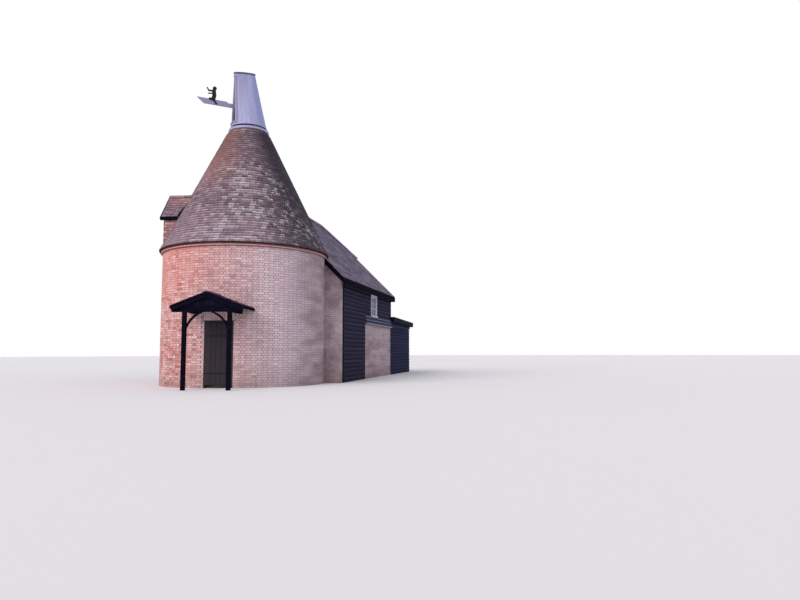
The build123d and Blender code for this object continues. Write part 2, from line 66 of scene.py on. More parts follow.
# Dormer, seen along its own direction
dormer_front, dormer_verge = kiln_radius, kiln_radius + 0.11
dormer_half, dormer_reach = 0.62, 0.70
dormer_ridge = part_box("dormer_roof")[1].z
dormer_tilt, dormer_depth = radians(52.5), 0.06
dormer_sill, dormer_window = wall_top + 0.51, (0.70, 0.64)

# Porch and kiln door, seen along the porch's own direction
porch_front, porch_verge = kiln_radius + 1.05, kiln_radius + 1.05 + 0.08
porch_reach, porch_ridge = 1.05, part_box("porch_roof")[1].z
porch_tilt, porch_depth = radians(21), 0.075
porch_beam_top = 2.43
door_half, door_top = 0.39, 1.99
soldiers_half, soldiers_top = 0.53, 2.28
door_face = sqrt(kiln_radius ** 2 - 0.45 ** 2)

# Stowage and annex
half_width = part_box("right_brick_wall")[1].x
bay_end, far_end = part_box("right_brick_wall")[0].y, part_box("right_brick_wall")[1].y
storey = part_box("right_brick_wall")[1].z
near_end, return_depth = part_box("near_wall_returns")[0].y, 0.225
boards_start = near_end + return_depth
skirt_reach, skirt_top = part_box("skirt_boards")[1].x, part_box("skirt_boards")[1].z
eave_reach, ridge_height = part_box("stowage_roof_right")[1].x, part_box("stowage_roof_right")[1].z
verge_start, verge_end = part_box("stowage_roof_right")[0].y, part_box("stowage_roof_right")[1].y
hip_start, hip_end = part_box("half_hip")[0].y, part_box("half_hip")[1].y
roof_tilt, hip_tilt = radians(45), radians(55)
roof_drop = 0.15 / cos(roof_tilt)
hip_foot = ridge_height - (hip_end - hip_start) * tan(hip_tilt)
annex_top, annex_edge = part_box("annex_roof")[1].z, 0.23
annex_fall = 0.08 / (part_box("annex_roof")[1].y - far_end)
annex_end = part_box("annex_side_walls")[1].y
side_window = (0.84, 0.83)
side_window_middle, side_window_sill = 5.28, storey + 0.37

# Cowl, seen along its own vane
cowl_bottom, cowl_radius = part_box("cowl_shell")[0].z, 0.63
cowl_head, cowl_lean = 11.065, 0.195
cowl_head_length, cowl_head_width = 0.38, 0.09
cowl_head_slope = 0.08 / (2 * cowl_head_length)
cowl_boards = 24
mouth_turn, jamb_edge = radians(37.5), 0.16
mouth_sill, mouth_head = 0.15 / (cowl_head - cowl_bottom), 0.954

# Small pieces; the worn shares make an outer face smaller than its back
tile_width, tile_length, tile_depth, tile_gauge, tile_rise = 0.165, 0.165, 0.012, 0.1, 0.010
tile_joint, tile_worn, least_tile, least_row, ridge_joint = 0.003, 0.98, 0.04, 0.06, 0.006
brick_height, brick_long, brick_short, mortar = 0.065, 0.215, 0.1025, 0.010
brick_gauge, brick_pair = brick_height + mortar, brick_long + brick_short + 2 * mortar
brick_depth, brick_proud, brick_worn, least_brick = 0.03, 0.004, 0.96, 0.03
board_show, board_thick, board_lap, board_joint, ground_gap = 0.15, 0.022, 0.02, 0.003, 0.02
board_longest, board_cuts, window_margin = 3.6, (2.0, 3.2), 0.06


def facing(turn):
    """A frame on the kiln's axis whose +X looks out at an angle."""
    return Matrix.Rotation(turn, 4, "Z")


dormer_frame, porch_frame, wind_frame = (facing(turn) for turn in (dormer_turn, porch_turn, wind_turn))


# Materials

def linear(red, green, blue):
    """A colour written as it looks on a screen, 0 to 255, as the shader wants it."""
    return tuple((c / 255 / 12.92 if c <= 10 else ((c / 255 + 0.055) / 1.055) ** 2.4)
                 for c in (red, green, blue)) + (1.0,)


def stretched(across, along, run):
    """Scales of a noise, fine across the grain and long along its run."""
    return tuple(along if axis == run else across for axis in "xyz")


class Nodes:
    """The nodes of a material or world, with short ways to add more."""

    def __init__(self, owner):
        owner.use_nodes = True
        self.tree = owner.node_tree

    def feed(self, node, inputs):
        """Each input set to a value or linked to another node."""
        for key, source in inputs.items():
            if isinstance(source, (int, float, tuple)):
                node.inputs[key].default_value = source
            else:
                self.tree.links.new(source, node.inputs[key])

    def add(self, kind, inputs=None, **values):
        node = self.tree.nodes.new(kind)
        for key, value in values.items():
            setattr(node, key, value)
        self.feed(node, inputs or {})
        return node

    def maths(self, operation, first, second=0.0):
        return self.add("ShaderNodeMath", {0: first, 1: second}, operation=operation).outputs[0]


class Finish(Nodes):
    """A material under way, with the colour made so far in its base."""

    def __init__(self, name, roughness=0.8, metallic=0.0, specular=0.3):
        self.material = bpy.data.materials.new(name)
        super().__init__(self.material)
        self.shader = self.tree.nodes["Principled BSDF"]
        self.feed(self.shader, {"Roughness": roughness, "Metallic": metallic,
                                "Specular IOR Level": specular})
        self.place = self.add("ShaderNodeTexCoord").outputs["Object"]
        self.x, self.y, self.z = self.add("ShaderNodeSeparateXYZ", {0: self.place}).outputs

    def scaled(self, scale):
        return self.add("ShaderNodeMapping", {"Vector": self.place, "Scale": scale}).outputs["Vector"]

    def noise(self, scale, detail=4, distortion=0.0):
        """Noise with one scale or with three, one for each axis."""
        vector = self.place
        if isinstance(scale, tuple):
            vector, scale = self.scaled(scale), 1.0
        inputs = {"Vector": vector, "Scale": scale, "Detail": detail, "Distortion": distortion}
        return self.add("ShaderNodeTexNoise", inputs).outputs["Fac"]

    def attribute(self, name):
        return self.add("ShaderNodeAttribute", attribute_name=name).outputs["Fac"]

    def both(self, first, second):
        return self.maths("MULTIPLY", first, second)

    def spread(self, value, low, high, to_low=0.0, to_high=1.0):
        inputs = {"Value": value, "From Min": low, "From Max": high, "To Min": to_low, "To Max": to_high}
        return self.add("ShaderNodeMapRange", inputs).outputs["Result"]

    def ramp(self, value, *stops):
        """A colour for a value; each stop is a position with a red, a green and a blue."""
        node = self.add("ShaderNodeValToRGB", {"Fac": value})
        elements = node.color_ramp.elements
        while len(elements) < len(stops):
            elements.new(0.5)
        for element, (position, *colour) in zip(elements, stops):
            element.position = position
            element.color = linear(*colour)
        return node.outputs["Color"]

    def mix(self, factor, first, second):
        """Two colours mixed; the node's inputs 6 and 7 and its output 2 are the ones for colours."""
        inputs = {"Factor": factor, 6: first, 7: second}
        return self.add("ShaderNodeMix", inputs, data_type="RGBA").outputs[2]

    def tint(self, factor, *colour):
        """The colour so far, turned to another as far as a factor says."""
        self.base = self.mix(factor, self.base, linear(*colour))

    def towards(self, degrees):
        """Cosine of the angle, about the kiln's axis, between a place and a direction."""
        level = self.add("ShaderNodeVectorMath", {0: self.scaled((1, 1, 0))}, operation="NORMALIZE")
        way = (cos(radians(degrees)), sin(radians(degrees)), 0)
        dot = self.add("ShaderNodeVectorMath", {0: level.outputs[0], 1: way}, operation="DOT_PRODUCT")
        return dot.outputs["Value"]

    def side(self, degrees, low, high, to_low=0.0, to_high=1.0):
        """A share that grows round the kiln towards a direction."""
        return self.spread(self.towards(degrees), low, high, to_low, to_high)

    def lap(self, showing, cover, tail):
        """Painted shade and dirt below the course above, and on the lower edge, of a piece that shows a
        share of its rise.
        """
        rise = self.attribute("rise")
        covered = self.spread(rise, showing - 0.62, showing - 0.5, 0.0, cover)
        edge = self.spread(rise, -0.5, -0.47, tail, 0.0)
        self.tint(self.maths("MAXIMUM", covered, edge), 26, 20, 26)

    def done(self, roughness, height, strength, distance):
        """The material, with its colour, roughness and bump in place."""
        bump = self.add("ShaderNodeBump", {"Height": height, "Strength": strength, "Distance": distance})
        self.feed(self.shader, {"Base Color": self.base, "Roughness": roughness,
                                "Normal": bump.outputs["Normal"]})
        return self.material


def brick_finish():
    """Soft salmon handmade bricks, paler low down and greyer towards the right of the drum, with painted
    light high on its left, painted shade on the right-hand walls and painted shadow at the corbel.
    """
    made = Finish("handmade brick", specular=0.2)
    made.base = made.ramp(
        made.attribute("tone"), (0.0, 88, 60, 66), (0.06, 138, 82, 84), (0.3, 190, 122, 118),
        (0.6, 216, 154, 149), (0.9, 234, 190, 184), (1.0, 238, 220, 214))
    speck = made.noise(90, 6)
    made.base = made.mix(0.3, made.base, made.ramp(speck, (0.3, 160, 104, 102), (0.7, 242, 198, 190)))
    patch = made.spread(made.noise(1.3, 6, 0.7), 0.46, 0.66)
    made.tint(made.both(patch, made.spread(made.z, 4.3, 3.2, 0.25, 0.75)), 222, 190, 192)
    # Painted light: warmer, brighter salmon high on the drum's left, the side the light falls on.
    painted_left_light = made.both(made.side(-150, 0.1, 0.9), made.spread(made.z, 2.2, 3.6, 0.0, 0.4))
    made.tint(painted_left_light, 232, 140, 124)
    made.tint(made.side(40, -0.85, 0.3, 0.0, 0.75), 213, 206, 218)
    # Painted shade with mottling: the right-hand walls and returns, away from the light, darkened in
    # blotches.
    shade_and_mottle = made.spread(made.noise((2.6, 0.7, 3.6), 5), 0.35, 0.62, 0.25, 0.7)
    made.tint(made.both(made.spread(made.x, 2.1, 2.75), shade_and_mottle), 116, 88, 94)
    band = made.spread(made.z, corbel_bottom - 0.01, corbel_bottom + 0.01)
    made.tint(made.both(band, 0.6), 240, 148, 138)
    # Painted shadow: a dark line just below the corbel course and a dark band at the corbel's top, under
    # the eaves.
    below = made.spread(made.z, corbel_bottom - 0.05, corbel_bottom)
    under = made.both(made.maths("SUBTRACT", 1.0, band), below)
    eaves = made.spread(made.z, wall_top - 0.05, wall_top - 0.03)
    made.tint(made.both(made.maths("MAXIMUM", under, eaves), 0.8), 70, 44, 46)
    damp = made.spread(made.maths("ADD", made.z, made.noise(2.0)), 0.35, 1.3, 0.45, 0.0)
    made.tint(damp, 112, 96, 82)
    return made.done(made.spread(speck, 0.2, 0.8, 0.82, 0.98), made.noise(160, 5), 0.5, 0.003)


def mortar_finish():
    """Lime mortar between the bricks, limewashed on the inside of the walls."""
    made = Finish("lime mortar", specular=0.15)
    made.base = made.ramp(made.noise(60, 6), (0.25, 122, 98, 96), (0.75, 170, 144, 140))
    made.tint(made.spread(made.noise(1.2), 0.45, 0.7, 0.0, 0.5), 118, 90, 84)
    made.tint(made.side(40, -0.77, 0.41, 0.0, 0.4), 150, 136, 138)
    return made.done(0.95, made.noise(220), 0.6, 0.003)


def tile_finish(name, stops, lichen, moss, weather=None, tail=0.9):
    """Plain clay tiles, each of its own colour, with lichen, moss, and dirt and painted shade in the laps.
    """
    made = Finish(name, specular=0.25)
    tone = made.attribute("tone")
    made.base = made.ramp(tone, *stops)
    speck = made.noise(70, 6)
    made.base = made.mix(0.28, made.base, made.ramp(speck, (0.3, 74, 56, 62), (0.75, 178, 150, 150)))
    field = made.spread(made.noise(1.4, 3), 0.36, 0.56, 0.3, 1.0)
    streak = made.noise((3.0, 3.0, 0.8), 5, 0.4)
    made.tint(made.spread(streak, 0.48, 0.7, 0.0, moss), 96, 90, 90)
    if weather:
        field = made.both(field, weather(made))
    dots = made.spread(made.noise(30, 3), 0.56, 0.64)
    crust = made.spread(made.noise(15), 0.44, 0.54, 0.1, 1.0)
    whole = made.both(made.spread(tone, 0.6, 0.7), crust)
    spots = made.maths("MAXIMUM", made.both(whole, 0.95), made.both(dots, 0.8))
    made.tint(made.both(made.both(spots, field), lichen), 236, 228, 236)
    dull = made.both(made.both(made.spread(tone, 0.42, 0.3), field), lichen * 0.4)
    made.tint(dull, 84, 72, 84)
    # Painted shade and dirt in the laps.
    made.lap(tile_gauge / tile_length, 0.65, tail)
    return made.done(made.spread(speck, 0.2, 0.8, 0.78, 0.96), made.noise(120, 5), 0.45, 0.003)


def cone_weather(made):
    """Painted warm light high on the left of the cone, moss and painted shade on its right and painted
    shadow under the curb ring, with lichen in between.
    """
    height = made.maths("ADD", made.z, made.noise(1.1))
    # Painted light: warm, pale tiles high on the left of the cone, the side the light falls on.
    painted_warm_light = made.both(made.side(-150, 0.1, 0.7), made.spread(height, 6.9, 8.2, 0.0, 0.75))
    made.tint(painted_warm_light, 222, 154, 138)
    made.tint(made.spread(height, 7.2, 8.8, 0.0, 0.45), 100, 84, 98)
    # Painted shadow under the curb ring, at the top of the cone.
    made.tint(made.spread(made.z, cone_top - 0.1, cone_top - 0.05, 0.0, 0.65), 70, 54, 60)
    made.tint(made.spread(height, 6.6, 4.9, 0.0, 0.45), 216, 190, 206)
    # Darker on the right: moss, and painted shade on the side away from the light.
    made.tint(made.side(35, -0.1, 0.5, 0.0, 0.88), 52, 42, 64)
    slant = made.maths("ADD", made.towards(52), made.both(made.z, 0.3))
    left = made.side(-166, 0.0, 0.62, 1.0, 0.15)
    right = made.spread(slant, 2.4, 2.05, 0.1, 1.0)
    crown = made.spread(height, 8.3, 7.7, 0.35, 1.0)
    return made.both(made.both(left, right), crown)


def slope_weather(made):
    """Dull and pale patches a few tiles wide on the stowage's roof."""
    patch = made.maths("ADD", made.noise((2.6, 1.1, 2.6), 5, 0.5), made.both(made.attribute("tone"), 0.12))
    made.tint(made.spread(patch, 0.54, 0.7, 0.0, 0.45), 86, 78, 100)
    made.tint(made.spread(patch, 0.54, 0.4, 0.0, 0.4), 214, 206, 230)
    return 1.0


def dormer_weather(made):
    """Brown tiles near the dormer's ridge and dull purple ones towards its eaves."""
    height = made.maths("ADD", made.z, made.both(made.noise(4, 3), 0.2))
    made.tint(made.spread(height, 6.5, 6.25, 0.0, 0.65), 104, 88, 116)
    return 0.6


def board_finish(name, dark, pale, run, worn=0.4, steps=None):
    """Painted boards, grained along their run, with painted shade below each lap and a paler lower edge
    that is partly wear, partly a painted highlight.

    Boards of a node are told apart by steps, their lowest height and the height of each.
    """
    made = Finish(name, specular=0.08)
    grain = made.noise(stretched(97, 4.3, run))
    tone = made.spread(made.attribute("tone"), 0.0, 1.0, 0.3, 0.7)
    made.base = made.ramp(tone, (0.0, *dark), (1.0, *pale))
    made.tint(made.spread(grain, 0.5, 0.75, 0.0, 0.25), *pale)
    rise = made.attribute("rise")
    if steps:
        courses = made.both(made.maths("SUBTRACT", made.z, steps[0]), 1 / steps[1])
        rise = made.maths("SUBTRACT", made.maths("FRACT", courses), 0.5)
    # Painted shade: darker towards the top of each board's face, under the lap of the board above.
    made.tint(made.spread(rise, 0.02, 0.3, 0.0, 0.85), 10, 9, 16)
    # Paler lower edge: partly wear, partly a painted highlight where the edge catches the light.
    made.tint(made.spread(rise, -0.44, -0.2, worn, 0.0), 134, 134, 160)
    return made.done(made.spread(grain, 0.3, 0.7, 0.78, 0.94), grain, 0.35, 0.003)


def painted_finish(name, dark, pale, grime, amount=0.5, gloss=0.4, run="z", painted_side_shade=0.0, foot=0.0):
    """Weathered paint on boards, streaked down the grain, with painted shade bluer on one side and darker
    on the other, and dark below a height.
    """
    made = Finish(name, specular=gloss)
    made.base = made.ramp(made.attribute("tone"), (0.0, *dark), (1.0, *pale))
    # Painted shade: bluer towards one side of the kiln and greyer and darker towards the other.
    if painted_side_shade:
        made.tint(made.side(27, 0.2, 0.9, 0.0, painted_side_shade), 108, 130, 196)
        made.tint(made.side(-153, 0.1, 0.7, 0.0, painted_side_shade), 126, 124, 152)
    if foot:
        made.tint(made.spread(made.z, foot + 0.005, foot, 0.0, 0.85), 56, 48, 62)
    made.tint(made.spread(made.noise(stretched(14, 1.2, run), 5, 0.3), 0.5, 0.78, 0.0, amount), *grime)
    roughness = made.spread(made.noise(24), 0.3, 0.7, 0.8 - gloss, 1.0 - gloss)
    return made.done(roughness, made.noise(stretched(60, 6, run), 5), 0.2, 0.002)


def grained_finish(name, dark, pale, grain, rough, bump, strength, distance, specular=0.3, metallic=0.0):
    """One colour, mottled or grained by a noise, with another noise for its bumps."""
    made = Finish(name, metallic=metallic, specular=specular)
    share = made.noise(*grain)
    made.base = made.ramp(share, (0.3, *dark), (0.7, *pale))
    return made.done(made.spread(share, 0.3, 0.7, *rough), made.noise(*bump), strength, distance)


def felt_finish():
    """Mineral felt on top of the annex, with black-painted boards round its edge."""
    made = Finish("mineral felt and black edge boards", specular=0.06)
    fall = made.both(made.maths("SUBTRACT", made.y, far_end), annex_fall)
    below = made.maths("SUBTRACT", annex_top, made.maths("ADD", made.z, fall))
    grain = made.noise(90, 6)
    made.base = made.ramp(grain, (0.3, 58, 60, 68), (0.7, 86, 88, 96))
    made.tint(made.spread(made.maths("PINGPONG", made.y, 0.5), 0.0, 0.01, 0.7, 0.0), 30, 30, 36)
    made.tint(made.spread(made.noise(0.7, 5, 0.5), 0.45, 0.7, 0.0, 0.25), 104, 106, 108)
    edge = made.ramp(made.noise((2, 2, 40), 6, 0.3), (0.3, 14, 16, 32), (0.7, 30, 34, 56))
    made.base = made.mix(made.spread(below, 0.012, 0.016), made.base, edge)
    return made.done(made.spread(grain, 0.3, 0.7, 0.82, 0.96), made.noise(260), 0.35, 0.002)


def glass_finish():
    """Old window glass, dark inside, slightly uneven."""
    made = Finish("old window glass", specular=0.6)
    made.base = made.ramp(made.noise(3, 3), (0.3, 44, 50, 62), (0.7, 74, 84, 100))
    made.shader.inputs["Alpha"].default_value = 0.8
    return made.done(made.spread(made.noise(8, 3), 0.3, 0.7, 0.04, 0.12), made.noise(6, 2), 0.15, 0.002)


brick = brick_finish()
lime = mortar_finish()
cone_tile = tile_finish("kiln clay tile", [
    (0.0, 140, 112, 126), (0.25, 172, 142, 156), (0.6, 194, 162, 176), (0.9, 210, 182, 192),
    (1.0, 226, 210, 216)], 0.95, 0.25, cone_weather)
slope_tile = tile_finish("stowage clay tile", [
    (0.0, 128, 116, 156), (0.3, 158, 144, 190), (0.7, 181, 168, 216), (1.0, 217, 204, 240)],
    0.5, 0.3, slope_weather, 0.5)
warm_tile = tile_finish("dormer clay tile", [
    (0.0, 140, 100, 102), (0.35, 170, 126, 128), (0.75, 190, 146, 142), (1.0, 206, 172, 168)],
    0.3, 0.3, dormer_weather)
red_tile = tile_finish("red ridge and hanging tile", [
    (0.0, 140, 94, 96), (0.35, 174, 122, 124), (0.75, 194, 142, 140), (1.0, 214, 174, 168)], 0.3, 0.25)
porch_tile = tile_finish("porch clay tile", [
    (0.0, 58, 50, 66), (0.35, 84, 72, 92), (0.75, 104, 90, 112), (1.0, 140, 128, 146)], 0.25, 0.4)
# Dark battens under the tiles; on the cone's eave edge their dark colour also stands in as painted shade
# under the tile tails.
tile_bed = grained_finish("tile battens", (30, 22, 24), (56, 42, 42), (12, 5), (0.95, 0.95), (40,),
                          0.4, 0.004, specular=0.1)
black_along_y, black_along_x = [
    board_finish("black boards on the " + where, (20, 18, 38), (53, 48, 84), run)
    for where, run in (("long walls", "y"), ("end walls", "x"))]
annex_along_y, annex_along_x = [
    board_finish("annex boards on the " + where, (17, 22, 54), (36, 44, 90), run, 0.25)
    for where, run in (("long walls", "y"), ("end wall", "x"))]
skirt_paint = board_finish("skirt boards", (52, 62, 88), (88, 98, 124), "y", 0.8,
                           (storey, (skirt_top - storey) / 3))
black_paint = painted_finish("black paint on eaves and porch", (12, 11, 24), (26, 24, 44), (38, 36, 54),
                             0.35, 0.02, "y")
white_paint = painted_finish("white paint", (188, 190, 212), (212, 214, 232), (120, 118, 132), 0.55)
# The cowl's white paint given darker and bluer, as painted shade, with its own weathering streaks.
cowl_paint = painted_finish("weathered white cowl boards in painted shade", (152, 154, 192), (166, 169, 208),
                            (128, 126, 154), painted_side_shade=0.5)
# The curb ring's white paint given darker and bluer, as painted shade.
curb_paint = painted_finish("paint on the curb ring", (160, 160, 194), (176, 177, 210), (128, 126, 154),
                            foot=curb_foot)
# Painted shade: the jambs' paint darker than the cowl's, so the sides of the mouth read as shaded.
jamb_shade_paint = painted_finish("cowl jamb paint darkened as painted shade", (122, 120, 150), (146, 143, 174),
                            (98, 94, 118), gloss=0.2)
cap_paint = painted_finish("dark grey cap", (70, 72, 96), (92, 94, 118), (50, 50, 66), run="y")
grain = (stretched(40, 2.5, "z"), 6, 0.6)
dark_oak, floor_wood = [
    grained_finish(name, dark, pale, grain, (0.6, 0.82), grain, 0.4, 0.003)
    for name, dark, pale in (("dark stained oak", (24, 20, 28), (54, 46, 54)),
                             ("floor boards", (120, 92, 66), (164, 132, 98)))]
iron = grained_finish("black iron", (12, 12, 16), (28, 28, 34), (40, 6), (0.42, 0.58), (160,), 0.3, 0.002,
                      metallic=0.4)
flagstone = grained_finish("stone floor", (124, 118, 110), (166, 160, 150), (14, 6), (0.72, 0.88), (56,),
                           0.3, 0.002)
felt = felt_finish()
glass = glass_finish()


# Small pieces joined into one mesh

def template(build):
    """Corner places and faces of one small shape, made by a function on an empty bmesh."""
    bm = bmesh.new()
    build(bm)
    bm.verts.index_update()
    places = np.array([v.co for v in bm.verts])
    faces = [[v.index for v in face.verts] for face in bm.faces]
    bm.free()
    return places, faces


def box_shape(worn=1.0):
    """A unit block whose outer face, towards +Y, is a little smaller than its back."""
    def build(bm):
        bmesh.ops.create_cube(bm, size=1.0)
        bmesh.ops.scale(bm, vec=(worn, 1.0, worn), verts=[v for v in bm.verts if v.co.y > 0])
    return template(build)


def plank_shape(across, along):
    """A unit block cut into equal lengths across, along X, and along its rise, Z."""
    def build(bm):
        bmesh.ops.create_cube(bm, size=1.0)
        for axis, cuts in ((x_axis, across), (z_axis, along)):
            for index in range(1, cuts):
                geometry = bm.verts[:] + bm.edges[:] + bm.faces[:]
                bmesh.ops.bisect_plane(bm, geom=geometry, plane_no=axis,
                                       plane_co=axis * (index / cuts - 0.5))
    return template(build)


def half_round_shape(inner, outer, length, steps=10, taper=1.0):
    """A half-round ridge or bonnet tile lying along +Y."""
    def build(bm):
        ring = [bm.verts.new((radius, y, 0)) for radius, y in
                ((inner, 0), (outer, 0), (outer * taper, length), (inner * taper, length))]
        face = bm.faces.new(ring)
        bmesh.ops.spin(bm, geom=[face] + list(face.edges) + ring, cent=(0, 0, 0), axis=(0, -1, 0),
                       angle=pi, steps=steps, use_merge=False)
        bmesh.ops.remove_doubles(bm, verts=bm.verts, dist=1e-5)
        bmesh.ops.recalc_face_normals(bm, faces=bm.faces)
    return template(build)


def added(name, data):
    """A new object in the scene."""
    item = bpy.data.objects.new(name, data)
    bpy.context.collection.objects.link(item)
    return item


def joined(name, shape, points, tones, finish, body):
    """One piece from copies of a shape, given the corners of every copy and its tone."""
    corners, faces = shape
    count = len(points)
    sizes = np.array([len(face) for face in faces])
    loop = np.concatenate([np.array(face) for face in faces])
    starts = np.concatenate([[0], np.cumsum(sizes)[:-1]])
    steps = np.arange(count)[:, None]
    mesh = bpy.data.meshes.new(name)
    mesh.vertices.add(count * len(corners))
    mesh.loops.add(count * len(loop))
    mesh.polygons.add(count * len(faces))
    for items, key, values in (
            (mesh.vertices, "co", np.asarray(points)),
            (mesh.loops, "vertex_index", (loop + steps * len(corners)).astype(np.int32)),
            (mesh.polygons, "loop_start", (starts + steps * len(loop)).astype(np.int32)),
            (mesh.polygons, "loop_total", np.tile(sizes, count).astype(np.int32))):
        items.foreach_set(key, values.reshape(-1))
    mesh.update(calc_edges=True)
    mesh.validate()
    mesh.shade_flat()
    for key, values in (("tone", np.repeat(tones, len(corners))), ("rise", np.tile(corners[:, 2], count))):
        mesh.attributes.new(key, "FLOAT", "POINT").data.foreach_set("value", values.astype(np.float32))
    mesh.materials.append(finish)
    piece = added(name, mesh)
    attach(piece, body)
    return piece


def scatter(name, places, finish, body="building", shape=None):
    """Straight copies of a shape, each with its matrix and tone."""
    shape = shape or box_shape()
    matrices = np.array([np.array(matrix) for matrix, tone in places])
    points = np.einsum("nij,vj->nvi", matrices[:, :3, :3], shape[0]) + matrices[:, None, :3, 3]
    return joined(name, shape, points, [tone for matrix, tone in places], finish, body)


def basis(across, out, origin):
    """A frame at a place, with its X and Y along two directions."""
    matrix = Matrix((across, out, across.cross(out))).transposed().to_4x4()
    matrix.translation = origin
    return matrix


def block(across, out, middle, width, depth, height):
    """A unit block turned, moved and sized, from its sideways and outward directions and its middle."""
    return basis(across, out, middle) @ Matrix.Diagonal((width, depth, height, 1.0))


def slab(place, x, y, z, tone=0.5):
    """A block between three pairs of sizes in a frame."""
    middle = Vector([sum(pair) / 2 for pair in (x, y, z)])
    sizes = [abs(pair[1] - pair[0]) for pair in (x, y, z)]
    return place @ Matrix.Translation(middle) @ Matrix.Diagonal((*sizes, 1.0)), tone


def bar(start, end, across, width, depth, tone=0.5):
    """A bar from one point to another, with its width towards a direction."""
    up = (end - start).normalized()
    side = (across - up * across.dot(up)).normalized()
    return block(side, up.cross(side), (start + end) / 2, width, depth, (end - start).length), tone


def about(middle, half):
    return middle - half, middle + half


def jitter(amount):
    return picker.uniform(-amount, amount)


def round_axes(turn):
    """Directions outwards and sideways at an angle about the kiln's axis."""
    out = Vector((cos(turn), sin(turn), 0))
    return out, Vector((-out.y, out.x, 0))


def slope_axes(away, tilt):
    """Up and out directions of a slope that falls towards a level direction."""
    return z_axis * sin(tilt) - away * cos(tilt), z_axis * cos(tilt) + away * sin(tilt)


# Tiles

def cone_point(distance):
    """Radius, height and slope angle at a distance up the cone's profile."""
    for (r0, z0), (r1, z1) in zip(cone_profile, cone_profile[1:]):
        run = dist((r0, z0), (r1, z1))
        if distance <= run or (r1, z1) == cone_profile[-1]:
            share = distance / run
            return r0 + (r1 - r0) * share, z0 + (z1 - z0) * share, atan2(z1 - z0, r0 - r1)
        distance -= run


def reach_at(height, across):
    """Distance from the kiln's axis to its surface, measured parallel to a plane at a distance across."""
    radius = kiln_radius
    if height > wall_top:
        radii, heights = zip(*cone_profile)
        radius = float(np.interp(height, heights, radii, right=0.0))
    return sqrt(max(radius ** 2 - across ** 2, 0.0))


def tile_tone(pale=0.05):
    return 1.0 if picker.random() < pale else min(0.95, max(0.0, picker.gauss(0.5, 0.22)))


def tile_place(tail, across, up, out, width, length=tile_length):
    """A tile from the middle of its tail, lying up the slope on the course below."""
    lean = atan2(tile_depth, tile_gauge) + radians(jitter(0.9))
    turn = radians(jitter(0.8))
    up = (up * cos(turn) + across * sin(turn)).normalized()
    across = up.cross(out) if across.dot(up.cross(out)) > 0 else out.cross(up)
    along = up * cos(lean) - out * sin(lean)
    face = out * cos(lean) + up * sin(lean)
    middle = tail + out * (tile_rise + jitter(0.0015)) + along * (length / 2 + jitter(0.003))
    return block(across, face, middle + face * tile_depth / 2, width, tile_depth, length)


def in_dormer(point):
    """Whether a point of the cone lies under the dormer."""
    place = dormer_frame.inverted() @ point
    half = abs(place.y)
    under = dormer_ridge - half * tan(dormer_tilt) - 0.12
    return half < dormer_half - 0.02 and place.z < under and 0 < place.x < kiln_radius - 0.03


def cone_tiles():
    """Courses of tiles round the cone, fewer to a course towards the top, doubled at the eave."""
    length = sum(dist(a, b) for a, b in zip(cone_profile, cone_profile[1:]))
    places = []
    for course in range(int(length / tile_gauge)):
        radius, height, angle = cone_point(course * tile_gauge)
        count = round(2 * pi * radius / tile_width)
        offset = (course % 2) / 2 + jitter(0.1)
        width = 2 * pi * radius / count - tile_joint
        for index in range(count):
            outward, across = round_axes(2 * pi * (index + offset) / count)
            up, out = slope_axes(outward, angle)
            tail = outward * (radius * facet_share) + z_axis * height
            if in_dormer(tail + up * tile_gauge / 2):
                continue
            places.append((tile_place(tail, across, up, out, width), tile_tone(0.07)))
            if course == 0:
                under = tail + across * width / 2 - out * (tile_depth + 0.002)
                places.append((tile_place(under, across, up, out, width, tile_gauge), tile_tone()))
    scatter("kiln_tiles", places, cone_tile, shape=box_shape(tile_worn))


def face_tiles(name, foot, along, up, out, length, runs, finish):
    """Bonded courses on a flat face; runs gives the stretches of a course at a point in its middle."""
    places = []
    for course in range(int(length / tile_gauge)):
        line = foot + up * (course * tile_gauge)
        for low, high in runs(line + up * tile_gauge / 2):
            if high - low < least_row:
                continue
            first = floor(low / tile_width) + (course % 2) / 2 - 1
            for index in range(int((high - low) / tile_width) + 4):
                start = max((first + index) * tile_width, low)
                end = min((first + index + 1) * tile_width, high)
                if end - start > least_tile:
                    tail, width = line + along * ((start + end) / 2), end - start - tile_joint
                    places.append((tile_place(tail, along, up, out, width), tile_tone(0.03)))
    scatter(name, places, finish, shape=box_shape(tile_worn))


def slope_tiles(name, away, along, tilt, ridge, reach, runs, finish, start=0.0):
    """Tiles on one slope of a roof, from its eave up to its ridge, which lies start away."""
    up, out = slope_axes(away, tilt)
    foot = away * (start + reach) + z_axis * (ridge - reach * tan(tilt))
    face_tiles(name, foot, along, up, out, reach / cos(tilt), runs, finish)


def stowage_tiles():
    """Both long slopes, cut round the cone and along the half-hip."""
    def runs(point):
        end = hip_start + (ridge_height - point.z) / tan(hip_tilt)
        return [(max(verge_start, reach_at(point.z, point.x)), min(verge_end, end))]

    reach = eave_reach - 0.03 * sin(roof_tilt)
    for label, side in sides:
        slope_tiles("stowage_tiles" + label, x_axis * side, y_axis, roof_tilt, ridge_height, reach, runs,
                    slope_tile)


